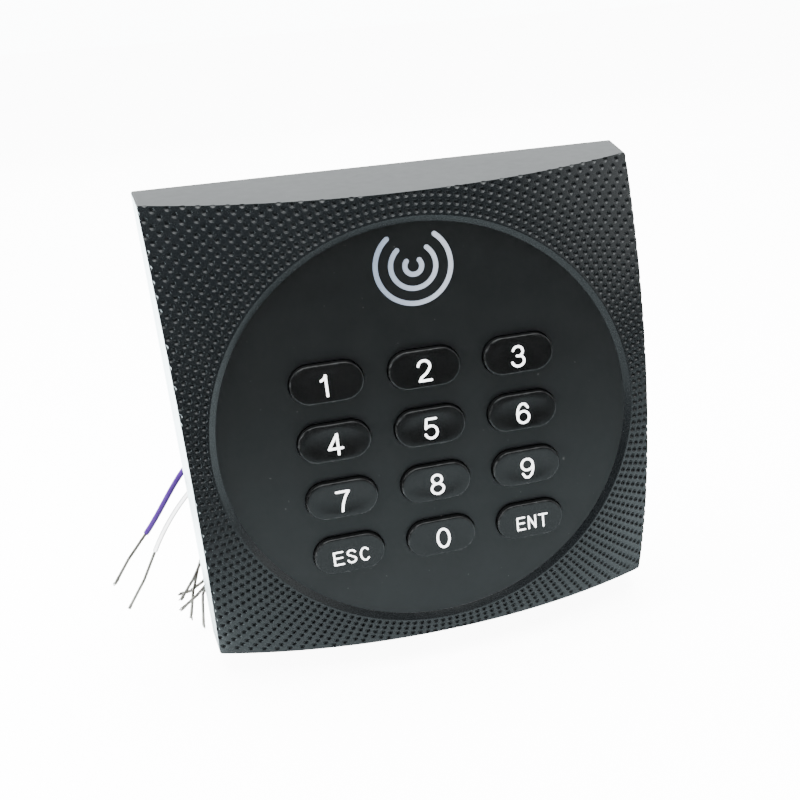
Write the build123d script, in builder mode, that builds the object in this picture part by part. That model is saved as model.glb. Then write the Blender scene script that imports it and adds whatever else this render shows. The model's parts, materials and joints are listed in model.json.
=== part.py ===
from build123d import *
import math
import os

# Keypad access reader for a wall. Frame: origin at the centre of the plane that touches the wall,
# +Z up, the keys face -Y, +X is to the right of a person facing the reader. Lengths in mm.

os.makedirs("parts", exist_ok=True)

# ---- housing -------------------------------------------------------------------------
rear_half = 60.3            # half width and half height of the square housing at the wall
draft = 5.4                 # taper of the side walls towards the front, degrees
corner_radius = 0.6         # rounding of the four long edges
dome_radius = 150.0         # the front is part of a sphere
dome_apex = -39.3           # where that sphere would reach if it were not cut by the disc recess
front_wall = 2.4
rim_y = -0.3                # rear rim of the cover, just clear of the wall
rear_pocket_half = 58.3     # straight-walled pocket that holds the back cover and the wall plate
ledge_y = -7.0              # step inside the side walls that the gasket lies on
inner_half = 57.0           # half width of the hollow at the ledge

# ---- flat disc sunk into the dome ----------------------------------------------------
disc_y = -28.6              # front face of the disc
disc_radius = 50.9
disc_thickness = 2.2
recess_slope = 49.0         # slope of the ring-shaped wall round the disc, degrees from the Y axis
disc_back_y = disc_y + disc_thickness

# ---- keys ----------------------------------------------------------------------------
key_pitch_x = 23.5
key_pitch_z = 15.0
keys_centre_z = -6.8
key_rows = [["1", "2", "3"], ["4", "5", "6"], ["7", "8", "9"], ["esc", "0", "ent"]]
window_length = 18.1
window_height = 10.1
key_length = 17.6
key_height = 9.6
key_top_y = -30.2
key_edge_radius = 0.45
key_dish_depth = 0.15
key_dish_radius_x = 190.0
key_dish_radius_z = 46.0
flange_length = 20.6
flange_height = 12.6
flange_front_y = disc_back_y + 0.1
flange_thickness = 0.8
stem_length = 14.0
stem_height = 6.0
stem_end_y = -23.65
pill_radius = 2.5
pill_thickness = 0.4

# ---- arc-shaped status window above the keys -----------------------------------------
icon_z = 40.6
arc_radii = [2.0, 5.35, 8.95]
arc_half_openings = [50.0, 41.0, 39.0]   # angle between straight up and each end of the arc
arc_width = 1.3
guide_clearance = 0.05
guide_base_radius = 11.3
guide_base_thickness = 1.2

# ---- circuit board -------------------------------------------------------------------
board_front_y = -22.0
board_thickness = 1.6
board_back_y = board_front_y + board_thickness
board_half = 54.0
board_corner_reach = 61.0
post_places = [(-40, 34), (40, 34), (-40, -40), (40, -40)]
post_radius = 3.0
board_screw_radius = 1.25
contact_radius = 2.2
contact_thickness = 0.1
mat_thickness = 1.0
coil_outer = 47.0
coil_inner = 44.5
coil_height = 2.0

# ---- back cover, wall plate and screws -----------------------------------------------
gasket_thickness = 0.8
back_cover_front_y = ledge_y + gasket_thickness
back_cover_thickness = 2.0
back_cover_rear_y = back_cover_front_y + back_cover_thickness
boss_offset = 49.0
boss_radius = 3.5
cover_screw_radius = 1.25
screw_gap = 0.03
plate_thickness = 1.5
plate_half = 56.5
plate_opening_radius = 18.0
wall_hole_spacing = 60.0
wall_hole_radius = 2.2
hook_x = 25.0
hook_width = 14.0
lock_tab_width = 12.0
lock_screw_y = -2.7
lock_screw_radius = 1.0
lock_head_radius = 1.9

# ---- cable ---------------------------------------------------------------------------
cable_z = -8.0
jacket_outer = 2.9
jacket_inner = 2.3
jacket_front_y = -9.0
jacket_rear_y = 5.0
grommet_neck = 4.9
grommet_flange = 7.0
wire_radius = 0.65
conductor_radius = 0.3
wire_bend = 7.0
plug_wire_pitch = 2.5
plug_wire_y = -16.0
header_z = -34.0            # height of the connector on the rear of the board
header_length = 7 * plug_wire_pitch + 4
# Each wire: colour, its place in the bundle (x, z), its place in the plug counted from the middle, a point
# it passes behind the housing (x, z), the end of its insulation (x, z), the bends and tip of its bare end.
wires = [
    ("violet", (0.0, 1.5), -1, (-60.7, -16.3), (-73.3, -32.7),
     [(-79.1, -39.4), (-84.1, -46.4)]),
    ("white", (1.3, 0.75), 2, (-60.8, -23.9), (-72.0, -39.0),
     [(-76.3, -47.0), (-82.1, -55.4)]),
    ("red", (-1.3, 0.75), -3, (-50.0, -28.5), (-59.3, -41.3),
     [(-63.3, -48.1), (-67.9, -54.2)]),
    ("green", (0.0, 0.0), 0, (-48.5, -31.5), (-59.9, -41.9),
     [(-61.7, -45.9), (-64.2, -52.9), (-66.2, -61.5)]),
    ("blue", (1.3, -0.75), 3, (-47.0, -34.0), (-58.6, -48.4),
     [(-61.3, -51.0), (-64.6, -52.9), (-68.9, -53.5)]),
    ("yellow", (-1.3, -0.75), -2, (-45.0, -37.5), (-58.4, -48.9),
     [(-63.2, -53.4), (-68.4, -57.1)]),
    ("black", (0.0, -1.5), 1, (-43.0, -40.5), (-57.6, -50.0),
     [(-61.3, -53.3), (-62.2, -57.0), (-63.2, -64.8)]),
]


def facing_front(y):
    """Sketch plane at depth y: sketch x is +X, sketch y is +Z, extruding goes towards the front."""
    return Plane.XZ.offset(-y)


def save(builder, label):
    builder.part.label = label
    export_step(builder.part, f"parts/{label}.step")


def key_place(row, column):
    return ((column - 1) * key_pitch_x, keys_centre_z + (1.5 - row) * key_pitch_z)


key_places = [key_place(row, column) for row in range(4) for column in range(3)]
dome_centre_y = dome_apex + dome_radius
block_front_y = -33.0        # the tapered block is cut back from here by the dome
block_front_half = rear_half + (block_front_y - rim_y) * math.tan(math.radians(draft))
inner_front_half = inner_half + (disc_back_y - ledge_y) * math.tan(math.radians(draft))
boss_places = [(x, z) for x in (-boss_offset, boss_offset) for z in (-boss_offset, boss_offset)]

# ---- front cover ---------------------------------------------------------------------
# The hollow behind the dome, kept clear of the disc.
with BuildPart() as hollow:
    with BuildSketch(facing_front(ledge_y)):
        RectangleRounded(2 * inner_half, 2 * inner_half, corner_radius)
    with BuildSketch(facing_front(disc_back_y)):
        RectangleRounded(2 * inner_front_half, 2 * inner_front_half, corner_radius)
    loft()
    with Locations((0, dome_centre_y, 0)):
        Sphere(dome_radius - front_wall, mode=Mode.INTERSECT)

with BuildPart() as front_cover:
    with BuildSketch(facing_front(rim_y)):
        RectangleRounded(2 * rear_half, 2 * rear_half, corner_radius)
    with BuildSketch(facing_front(block_front_y)):
        RectangleRounded(2 * block_front_half, 2 * block_front_half, corner_radius)
    loft()
    add(hollow.part, mode=Mode.SUBTRACT)
    with BuildSketch(facing_front(ledge_y)):
        RectangleRounded(2 * rear_pocket_half, 2 * rear_pocket_half, 1.5)
    extrude(amount=-10, mode=Mode.SUBTRACT)
    # bosses for the back cover screws and posts for the board screws
    with BuildSketch(facing_front(back_cover_front_y)):
        with Locations(*boss_places):
            Circle(boss_radius)
    extrude(amount=20)
    with BuildSketch(facing_front(board_front_y)):
        with Locations(*post_places):
            Circle(post_radius)
    extrude(amount=5.5)
    # the domed front face
    with Locations((0, dome_centre_y, 0)):
        Sphere(dome_radius, mode=Mode.INTERSECT)
    # the recess with its flat disc and sloping wall
    with BuildSketch(facing_front(disc_y)):
        Circle(disc_radius)
    extrude(amount=6, taper=-recess_slope, mode=Mode.SUBTRACT)
    # key windows
    with BuildSketch(facing_front(disc_y)):
        with Locations(*key_places):
            SlotOverall(window_length, window_height)
    extrude(amount=-disc_thickness, mode=Mode.SUBTRACT)
    # slots for the three arcs of the light guide
    for radius, opening in zip(arc_radii, arc_half_openings):
        with BuildSketch(facing_front(disc_y)):
            with BuildLine() as arc_line:
                CenterArc((0, icon_z), radius, 90 + opening, 360 - 2 * opening)
            SlotArc(arc_line.edges()[0], arc_width)
        extrude(amount=-disc_thickness, mode=Mode.SUBTRACT)
    # pilot holes
    with BuildSketch(facing_front(back_cover_front_y)):
        with Locations(*boss_places):
            Circle(cover_screw_radius + screw_gap)
    extrude(amount=8.5, mode=Mode.SUBTRACT)
    with BuildSketch(facing_front(board_front_y)):
        with Locations(*post_places):
            Circle(board_screw_radius + screw_gap)
    extrude(amount=3.4, mode=Mode.SUBTRACT)
    # ribs under the top wall that catch on the hooks of the wall plate
    with BuildSketch(facing_front(-0.7)):
        with Locations((-hook_x, 57.9), (hook_x, 57.9)):
            Rectangle(hook_width + 2, 1.4)
    extrude(amount=1.3)
    # hole and head seat for the lock screw in the bottom wall
    with BuildSketch(Plane.XY.offset(-rear_half)):
        with Locations((0, lock_screw_y)):
            Circle(lock_screw_radius + 0.1)
    extrude(amount=3, mode=Mode.SUBTRACT)
    with BuildSketch(Plane.XY.offset(-rear_half - 0.1)):
        with Locations((0, lock_screw_y)):
            Circle(lock_head_radius + 0.1)
    extrude(amount=1.3, mode=Mode.SUBTRACT)
save(front_cover, "front_cover")

# ---- light guide: three arcs standing on a round base behind the disc ----------------
with BuildPart() as light_guide:
    with BuildSketch(facing_front(disc_back_y)):
        with Locations((0, icon_z)):
            Circle(guide_base_radius)
    extrude(amount=-guide_base_thickness)
    for radius, opening in zip(arc_radii, arc_half_openings):
        with BuildSketch(facing_front(disc_back_y)):
            with BuildLine() as arc_line:
                CenterArc((0, icon_z), radius, 90 + opening, 360 - 2 * opening)
            SlotArc(arc_line.edges()[0], arc_width - 2 * guide_clearance)
        extrude(amount=disc_thickness - 0.05)
save(light_guide, "light_guide")

# ---- the twelve keys, each with its conductive pill ----------------------------------
for row, names in enumerate(key_rows):
    for column, name in enumerate(names):
        key_x, key_z = key_place(row, column)
        with BuildPart() as key:
            with BuildSketch(facing_front(flange_front_y)):
                with Locations((key_x, key_z)):
                    SlotOverall(flange_length, flange_height)
            extrude(amount=-flange_thickness)
            with BuildSketch(facing_front(flange_front_y)):
                with Locations((key_x, key_z)):
                    SlotOverall(key_length, key_height)
            extrude(amount=flange_front_y - key_top_y)
            fillet(key.faces().sort_by(Axis.Y)[0].edges(), key_edge_radius)
            with Locations((key_x, key_top_y + key_dish_depth - key_dish_radius_x, key_z)):
                Torus(key_dish_radius_x - key_dish_radius_z, key_dish_radius_z, mode=Mode.SUBTRACT)
            with BuildSketch(facing_front(flange_front_y + flange_thickness)):
                with Locations((key_x, key_z)):
                    SlotOverall(stem_length, stem_height)
            extrude(amount=-(stem_end_y - flange_front_y - flange_thickness))
        save(key, f"key_{name}")

        with BuildPart() as pill:
            with BuildSketch(facing_front(stem_end_y)):
                with Locations((key_x, key_z)):
                    Circle(pill_radius)
            extrude(amount=-pill_thickness)
        save(pill, f"pill_{name}")

# ---- rubber mat round the key stems --------------------------------------------------
with BuildPart() as keypad_mat:
    with BuildSketch(facing_front(board_front_y)):
        with Locations((0, keys_centre_z)):
            RectangleRounded(2 * key_pitch_x + 25, 3 * key_pitch_z + 16, 4)
    extrude(amount=mat_thickness)
    with BuildSketch(facing_front(board_front_y - mat_thickness)):
        with Locations(*key_places):
            SlotOverall(stem_length + 3, stem_height + 3)
    extrude(amount=1.0)
    with BuildSketch(facing_front(board_front_y - mat_thickness - 1)):
        with Locations(*key_places):
            SlotOverall(stem_length + 1, stem_height + 1)
    extrude(amount=-2.5, mode=Mode.SUBTRACT)
save(keypad_mat, "keypad_mat")

# ---- circuit board -------------------------------------------------------------------
with BuildPart() as main_board:
    with BuildSketch(facing_front(board_front_y)):
        Rectangle(2 * board_half, 2 * board_half)
        Circle(board_corner_reach, mode=Mode.INTERSECT)
    extrude(amount=-board_thickness)
    with BuildSketch(facing_front(board_front_y)):
        with Locations(*post_places):
            Circle(board_screw_radius + 0.25)
    extrude(amount=-board_thickness, mode=Mode.SUBTRACT)
save(main_board, "main_board")

# Two half-moon pads under each pill.
with BuildPart() as key_contacts:
    with BuildSketch(facing_front(board_front_y)):
        with Locations(*key_places):
            Circle(contact_radius)
            Rectangle(0.5, 3 * contact_radius, mode=Mode.SUBTRACT)
    extrude(amount=contact_thickness)
save(key_contacts, "key_contacts")

# One lamp under the small arc, two under each larger arc.
led_places = [(0, icon_z - arc_radii[0])]
for radius in arc_radii[1:]:
    led_places.append((-radius, icon_z))
    led_places.append((radius, icon_z))
with BuildPart() as status_leds:
    with BuildSketch(facing_front(board_front_y)):
        with Locations(*led_places):
            Rectangle(2.0, 1.25)
    extrude(amount=0.5)
    with BuildSketch(facing_front(board_front_y - 0.5)):
        with Locations(*led_places):
            Rectangle(1.2, 1.1)
    extrude(amount=0.4)
save(status_leds, "status_leds")

# ---- parts on the rear of the board --------------------------------------------------
with BuildPart() as antenna_coil:
    with BuildSketch(facing_front(board_back_y)):
        Circle(coil_outer)
        Circle(coil_inner, mode=Mode.SUBTRACT)
    extrude(amount=-coil_height)
    fillet(antenna_coil.edges().group_by(Axis.Y)[-1], 0.6)
save(antenna_coil, "antenna_coil")

mcu_place = (-12, 8)
mcu_side = 10.0
mcu_lift = 0.15
with BuildPart() as microcontroller:
    with BuildSketch(facing_front(board_back_y + mcu_lift)):
        with Locations(mcu_place):
            Rectangle(mcu_side, mcu_side)
    extrude(amount=-1.4)
    chamfer(microcontroller.edges().filter_by(Axis.Y), 0.4)
    with BuildSketch(facing_front(board_back_y + mcu_lift + 1.4)):
        with Locations((mcu_place[0] - 3.6, mcu_place[1] + 3.6)):
            Circle(0.5)
    extrude(amount=0.15, mode=Mode.SUBTRACT)
save(microcontroller, "microcontroller")

radio_place = (-10, 27)
radio_length = 8.7
radio_width = 3.9
with BuildPart() as radio_chip:
    with BuildSketch(facing_front(board_back_y + mcu_lift)):
        with Locations(radio_place):
            Rectangle(radio_length, radio_width)
    extrude(amount=-1.4)
    chamfer(radio_chip.faces().sort_by(Axis.Y)[-1].edges(), 0.2)
save(radio_chip, "radio_chip")

with BuildPart() as chip_leads:
    with BuildSketch(facing_front(board_back_y)):
        with Locations(mcu_place):
            for turn in range(4):
                with PolarLocations(mcu_side / 2 + 0.6, 1, start_angle=90 * turn):
                    with GridLocations(0, 0.8, 1, 11):
                        Rectangle(1.16, 0.35)
        with Locations(radio_place):
            with GridLocations(1.27, radio_width + 1.1, 7, 2):
                Rectangle(0.42, 1.05)
    extrude(amount=-0.2)
save(chip_leads, "chip_leads")

with BuildPart() as crystal:
    with BuildSketch(facing_front(board_back_y)):
        with Locations((9, 24)):
            SlotOverall(11.0, 4.6)
    extrude(amount=-0.5)
    with BuildSketch(facing_front(board_back_y + 0.5)):
        with Locations((9, 24)):
            SlotOverall(10.2, 3.8)
    extrude(amount=-3.2)
    fillet(crystal.faces().sort_by(Axis.Y)[-1].edges(), 0.5)
save(crystal, "crystal")

with BuildPart() as filter_capacitor:
    with BuildSketch(facing_front(board_back_y)):
        with Locations((27, 14)):
            Circle(4.0)
    extrude(amount=-10)
    fillet(filter_capacitor.edges().sort_by(Axis.Y)[-1], 0.6)
    with BuildSketch(facing_front(board_back_y + 10)):
        with Locations((27, 14)):
            Rectangle(6, 0.3)
            Rectangle(0.3, 6)
    extrude(amount=0.3, mode=Mode.SUBTRACT)
save(filter_capacitor, "filter_capacitor")

with BuildPart() as buzzer:
    with BuildSketch(facing_front(board_back_y)):
        with Locations((25, -14)):
            Circle(6.0)
    extrude(amount=-8.5)
    fillet(buzzer.edges().sort_by(Axis.Y)[-1], 0.5)
    with BuildSketch(facing_front(board_back_y + 8.5)):
        with Locations((25, -14)):
            Circle(1.1)
    extrude(amount=3, mode=Mode.SUBTRACT)
save(buzzer, "buzzer")

with BuildPart() as voltage_regulator:
    with BuildSketch(facing_front(board_back_y)):
        with Locations((-29, -14)):
            Rectangle(6.6, 9.6)
    extrude(amount=-0.5)
    with BuildSketch(facing_front(board_back_y + 0.5)):
        with Locations((-29, -15)):
            Rectangle(6.6, 6.1)
    extrude(amount=-1.8)
save(voltage_regulator, "voltage_regulator")

# Rows of chip resistors and chip capacitors.
with BuildPart() as small_parts:
    with BuildSketch(facing_front(board_back_y)):
        with Locations((-30, 14)):
            with GridLocations(3.2, 4.0, 3, 4):
                Rectangle(1.25, 2.0)
        with Locations((8, 4)):
            with GridLocations(4.0, 3.2, 3, 3):
                Rectangle(2.0, 1.25)
        with Locations((-8, 37)):
            with GridLocations(3.4, 0, 5, 1):
                Rectangle(1.25, 2.0)
    extrude(amount=-0.7)
save(small_parts, "small_parts")

# ---- connector for the cable ---------------------------------------------------------
def plug_hole(position, bundle_place):
    """Where a wire enters the plug (x, y); wires that lie nearer the board in the bundle do so here too."""
    return (position * plug_wire_pitch, plug_wire_y - 0.5 * bundle_place[1])


with BuildPart() as wire_header:
    with BuildSketch(facing_front(board_back_y)):
        with Locations((0, header_z)):
            Rectangle(header_length, 8)
    extrude(amount=-7)
    with BuildSketch(Plane.XY.offset(header_z + 4)):
        with Locations((0, board_back_y + 3.9)):
            Rectangle(header_length - 2.4, 4.6)
    extrude(amount=-6, mode=Mode.SUBTRACT)
save(wire_header, "wire_header")

with BuildPart() as wire_plug:
    with BuildSketch(Plane.XY.offset(header_z - 1.9)):
        with Locations((0, board_back_y + 3.9)):
            Rectangle(header_length - 2.6, 4.4)
    extrude(amount=6.9)
    with BuildSketch(Plane.XY.offset(header_z + 5)):
        with Locations(*[plug_hole(position, place) for _, place, position, _, _, _ in wires]):
            Circle(wire_radius + 0.15)
    extrude(amount=-2, mode=Mode.SUBTRACT)
save(wire_plug, "wire_plug")

# ---- cable: jacket, grommet and seven wires ------------------------------------------
with BuildPart() as cable_jacket:
    with BuildSketch(facing_front(jacket_front_y)):
        with Locations((0, cable_z)):
            Circle(jacket_outer)
            Circle(jacket_inner, mode=Mode.SUBTRACT)
    extrude(amount=-(jacket_rear_y - jacket_front_y))
save(cable_jacket, "cable_jacket")

with BuildPart() as cable_grommet:
    with BuildSketch(facing_front(back_cover_front_y - 1.2)):
        with Locations((0, cable_z)):
            Circle(grommet_flange)
    extrude(amount=-1.2)
    with BuildSketch(facing_front(back_cover_front_y)):
        with Locations((0, cable_z)):
            Circle(grommet_neck)
    extrude(amount=-back_cover_thickness)
    with BuildSketch(facing_front(back_cover_rear_y)):
        with Locations((0, cable_z)):
            Circle(grommet_flange)
    extrude(amount=-1.2)
    fillet(cable_grommet.edges().sort_by(Axis.Y)[-1], 0.4)
    with BuildSketch(facing_front(back_cover_front_y - 2)):
        with Locations((0, cable_z)):
            Circle(jacket_outer + 0.02)
    extrude(amount=-10, mode=Mode.SUBTRACT)
save(cable_grommet, "cable_grommet")

bend_in_z = cable_z - wire_bend
bend_in_y = jacket_front_y
quarter = math.sin(math.radians(45))


def wire_direction(insulation_end, bare_points):
    """Direction of the wire where its insulation ends, in the plane behind the housing."""
    target = bare_points[0]
    return Vector(target[0] - insulation_end[0], 0, target[1] - insulation_end[1]).normalized()


for colour, (pack_x, pack_z), plug_position, passing, insulation_end, bare_points in wires:
    level_y = jacket_rear_y + wire_bend + pack_x
    first_bend = wire_bend + pack_z
    second_bend = wire_bend + pack_x
    plug_point = (*plug_hole(plug_position, (pack_x, pack_z)), header_z + 4.0)
    bend_start = (pack_x, bend_in_y - first_bend, bend_in_z)
    bend_middle = (pack_x, bend_in_y - first_bend * quarter, bend_in_z + first_bend * quarter)
    bend_end = (pack_x, bend_in_y, cable_z + pack_z)
    jacket_end = (pack_x, jacket_rear_y, cable_z + pack_z)
    turn_middle = (
        -wire_bend + second_bend * quarter,
        jacket_rear_y + second_bend * quarter,
        cable_z + pack_z,
    )
    turn_end = (-wire_bend, level_y, cable_z + pack_z)
    with BuildPart() as wire:
        with BuildLine():
            Spline(plug_point, bend_start, tangents=((0, 0, 1), (0, 0, 1)))
            ThreePointArc(bend_start, bend_middle, bend_end)
            Line(bend_end, jacket_end)
            ThreePointArc(jacket_end, turn_middle, turn_end)
            Spline(
                turn_end,
                (passing[0], level_y, passing[1]),
                (insulation_end[0], level_y, insulation_end[1]),
                tangents=((-1, 0, 0), wire_direction(insulation_end, bare_points)),
            )
        with BuildSketch(Plane.XY.offset(plug_point[2])):
            with Locations(plug_point[:2]):
                Circle(wire_radius)
        sweep()
    save(wire, f"wire_{colour}")

with BuildPart() as bare_wire_ends:
    for _, (pack_x, _), _, _, insulation_end, bare_points in wires:
        level_y = jacket_rear_y + wire_bend + pack_x
        start = Vector(insulation_end[0], level_y, insulation_end[1])
        direction = wire_direction(insulation_end, bare_points)
        with BuildLine():
            FilletPolyline(start, *[(x, level_y, z) for x, z in bare_points], radius=1.5)
        with BuildSketch(Plane(origin=start, z_dir=direction)):
            Circle(conductor_radius)
        sweep()
save(bare_wire_ends, "bare_wire_ends")

# ---- gasket, back cover and wall plate -----------------------------------------------
with BuildPart() as cover_gasket:
    with BuildSketch(facing_front(ledge_y)):
        RectangleRounded(2 * rear_pocket_half - 0.4, 2 * rear_pocket_half - 0.4, 1.3)
        RectangleRounded(2 * inner_half + 0.2, 2 * inner_half + 0.2, 1.3, mode=Mode.SUBTRACT)
    extrude(amount=-gasket_thickness)
save(cover_gasket, "cover_gasket")

with BuildPart() as back_cover:
    with BuildSketch(facing_front(back_cover_front_y)):
        RectangleRounded(2 * rear_pocket_half - 0.4, 2 * rear_pocket_half - 0.4, 1.3)
    extrude(amount=-back_cover_thickness)
    # stiffening ribs towards the board
    with BuildSketch(facing_front(back_cover_front_y)):
        with Locations((0, 30), (0, -46)):
            Rectangle(84, 1.6)
        with Locations((-36, -8), (36, -8)):
            Rectangle(1.6, 74.4)
    extrude(amount=2.5)
    with BuildSketch(facing_front(back_cover_front_y)):
        with Locations((0, cable_z)):
            Circle(grommet_neck + 0.03)
        with Locations(*boss_places):
            Circle(cover_screw_radius + 0.2)
    extrude(amount=-back_cover_thickness, mode=Mode.SUBTRACT)
save(back_cover, "back_cover")

with BuildPart() as wall_plate:
    with BuildSketch(facing_front(0)):
        RectangleRounded(2 * plate_half, 2 * plate_half, 3)
        Circle(plate_opening_radius, mode=Mode.SUBTRACT)
        with GridLocations(wall_hole_spacing, 0, 2, 1):
            Circle(wall_hole_radius, mode=Mode.SUBTRACT)
    extrude(amount=plate_thickness)
    # two hooks at the top: forward, then up
    with BuildSketch(facing_front(-plate_thickness)):
        with Locations((-hook_x, plate_half - 0.75), (hook_x, plate_half - 0.75)):
            Rectangle(hook_width, 1.5)
    extrude(amount=2.1)
    with BuildSketch(facing_front(-2.3)):
        with Locations((-hook_x, plate_half + 0.7), (hook_x, plate_half + 0.7)):
            Rectangle(hook_width, 1.4)
    extrude(amount=1.3)
    # threaded tab at the bottom for the lock screw
    with BuildSketch(facing_front(-plate_thickness)):
        with Locations((0, -plate_half + 0.75)):
            Rectangle(lock_tab_width, 1.5)
    extrude(amount=2.6)
    with BuildSketch(Plane.XY.offset(-plate_half)):
        with Locations((0, lock_screw_y)):
            Circle(lock_screw_radius + screw_gap)
    extrude(amount=1.5, mode=Mode.SUBTRACT)
save(wall_plate, "wall_plate")

# ---- screws --------------------------------------------------------------------------
with BuildPart() as back_cover_screws:
    with BuildSketch(facing_front(back_cover_rear_y)):
        with Locations(*boss_places):
            Circle(2.5)
    extrude(amount=-1.6)
    fillet(back_cover_screws.edges().group_by(Axis.Y)[-1], 0.5)
    with BuildSketch(facing_front(back_cover_rear_y + 1.6)):
        with Locations(*boss_places):
            Rectangle(2.6, 0.6)
            Rectangle(0.6, 2.6)
    extrude(amount=0.9, mode=Mode.SUBTRACT)
    with BuildSketch(facing_front(back_cover_rear_y)):
        with Locations(*boss_places):
            Circle(cover_screw_radius)
    extrude(amount=9)
save(back_cover_screws, "back_cover_screws")

with BuildPart() as board_screws:
    with BuildSketch(facing_front(board_back_y)):
        with Locations(*post_places):
            Circle(2.4)
    extrude(amount=-1.5)
    fillet(board_screws.edges().group_by(Axis.Y)[-1], 0.5)
    with BuildSketch(facing_front(board_back_y + 1.5)):
        with Locations(*post_places):
            Rectangle(2.4, 0.6)
            Rectangle(0.6, 2.4)
    extrude(amount=0.8, mode=Mode.SUBTRACT)
    with BuildSketch(facing_front(board_back_y)):
        with Locations(*post_places):
            Circle(board_screw_radius)
    extrude(amount=4.6)
save(board_screws, "board_screws")

with BuildPart() as lock_screw:
    with BuildSketch(Plane.XY.offset(-rear_half + 0.1)):
        with Locations((0, lock_screw_y)):
            Circle(lock_head_radius)
    extrude(amount=1.1)
    with BuildSketch(Plane.XY.offset(-rear_half + 0.1)):
        with Locations((0, lock_screw_y)):
            RegularPolygon(0.9, 6)
    extrude(amount=0.8, mode=Mode.SUBTRACT)
    with BuildSketch(Plane.XY.offset(-rear_half + 1.2)):
        with Locations((0, lock_screw_y)):
            Circle(lock_screw_radius)
    extrude(amount=5)
save(lock_screw, "lock_screw")
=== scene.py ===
import bpy
import bmesh
import json
import math
import random
import numpy as np
from mathutils import Matrix, Vector

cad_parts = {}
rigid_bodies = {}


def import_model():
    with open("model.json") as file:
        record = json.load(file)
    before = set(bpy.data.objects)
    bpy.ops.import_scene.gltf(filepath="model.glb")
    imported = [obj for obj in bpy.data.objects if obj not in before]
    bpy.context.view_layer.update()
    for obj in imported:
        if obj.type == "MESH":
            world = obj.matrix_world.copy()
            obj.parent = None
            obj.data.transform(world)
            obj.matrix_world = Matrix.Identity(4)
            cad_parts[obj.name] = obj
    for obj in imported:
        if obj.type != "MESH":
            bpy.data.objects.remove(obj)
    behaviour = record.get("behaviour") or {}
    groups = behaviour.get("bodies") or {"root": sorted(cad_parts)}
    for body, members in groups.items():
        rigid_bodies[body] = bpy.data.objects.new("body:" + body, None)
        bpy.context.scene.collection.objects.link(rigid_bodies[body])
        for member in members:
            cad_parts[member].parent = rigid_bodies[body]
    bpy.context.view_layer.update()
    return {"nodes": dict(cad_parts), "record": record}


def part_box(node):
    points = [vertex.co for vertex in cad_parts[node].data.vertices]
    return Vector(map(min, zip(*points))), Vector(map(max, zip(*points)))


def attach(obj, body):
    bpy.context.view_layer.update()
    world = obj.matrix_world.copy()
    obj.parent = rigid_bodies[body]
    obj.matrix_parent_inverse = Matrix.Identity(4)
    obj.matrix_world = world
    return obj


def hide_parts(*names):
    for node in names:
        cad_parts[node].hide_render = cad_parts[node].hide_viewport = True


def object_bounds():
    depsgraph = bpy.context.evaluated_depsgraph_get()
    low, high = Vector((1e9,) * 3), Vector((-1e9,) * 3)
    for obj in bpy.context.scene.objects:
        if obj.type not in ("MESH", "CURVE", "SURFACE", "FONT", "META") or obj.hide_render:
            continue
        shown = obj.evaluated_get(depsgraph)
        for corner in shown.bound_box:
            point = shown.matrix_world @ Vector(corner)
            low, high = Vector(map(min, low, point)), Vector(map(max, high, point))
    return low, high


MM = 0.001

for leftover in list(bpy.data.objects):
    bpy.data.objects.remove(leftover)
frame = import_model()
nodes = frame["nodes"]
scene = bpy.context.scene


def box_mm(node):
    """Lowest and highest corner of a CAD node in millimetres."""
    low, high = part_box(node)
    return low / MM, high / MM


# ---- sizes of the model, in mm -------------------------------------------------------------------
REAR_HALF = box_mm("front_cover")[1].x
COVER_REAR_Y = -0.3
DOME_RADIUS = 150.0
DOME_CENTRE_Y = 110.7
DRAFT = math.tan(math.radians(5.4))
CORNER_RADIUS = 0.6
DISC_Y = -28.6
DISC_RADIUS = 50.9
LIP_RADIUS = 52.4
COLUMNS = 180
ROWS = 17
DIMPLE_RADIUS = 0.7
DIMPLE_DEPTH = 0.575
DEEPER_BY_HEIGHT = -0.0022
DIMPLE_PROFILE = [(1.14, 0.0), (1.03, 0.03), (0.95, 0.12), (0.76, 0.44), (0.42, 0.83)]  # radius, depth, as parts
FIRST_ROW_RADIUS = 53.6
ROW_STEP = 1.78
ROW_STEP_GROWTH = 0.0095
COLUMN_ANGLE = 360.0 / COLUMNS
SPLIT = 3              # parts along each side of the square round a dimple
PLAIN_STRIP_Z = -57.2
KEY_EDGE_RADIUS = 0.45
KEY_DISH_DEPTH = 0.15


# ---- node helpers ---------------------------------------------------------------------------------
DUST_COLOUR = (0.35, 0.35, 0.34)


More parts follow.
